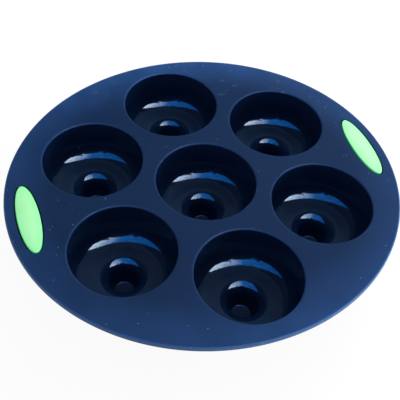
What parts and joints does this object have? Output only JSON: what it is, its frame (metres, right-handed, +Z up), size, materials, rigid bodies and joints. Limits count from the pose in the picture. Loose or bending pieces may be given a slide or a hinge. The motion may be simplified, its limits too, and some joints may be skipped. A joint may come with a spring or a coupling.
{
  "type": "donut baking mould",
  "caption": "Soft oval baking mould: round donut cups in a flat deck, a well sunk in each cup's floor, and a coloured oval grip let into each end.",
  "frame": {"origin": "bottom centre of the tray, on the plane that the seven well bases stand on", "axes": "+X along the tray from the left grip to the right grip, +Y towards the back, +Z up"},
  "size_m": [0.27, 0.252, 0.0508],
  "materials": {
    "tray_silicone": "satin deck, glossy cups",
    "grip_silicone": "satin"
  },
  "bodies": {
    "root": {"deck": "tray_silicone", "cup_centre": "tray_silicone", "cup_right_back": "tray_silicone", "cup_back": "tray_silicone", "cup_left_back": "tray_silicone", "cup_left_front": "tray_silicone", "cup_front": "tray_silicone", "cup_right_front": "tray_silicone", "grip_left": "grip_silicone", "grip_right": "grip_silicone"}
  },
  "joints": []
}
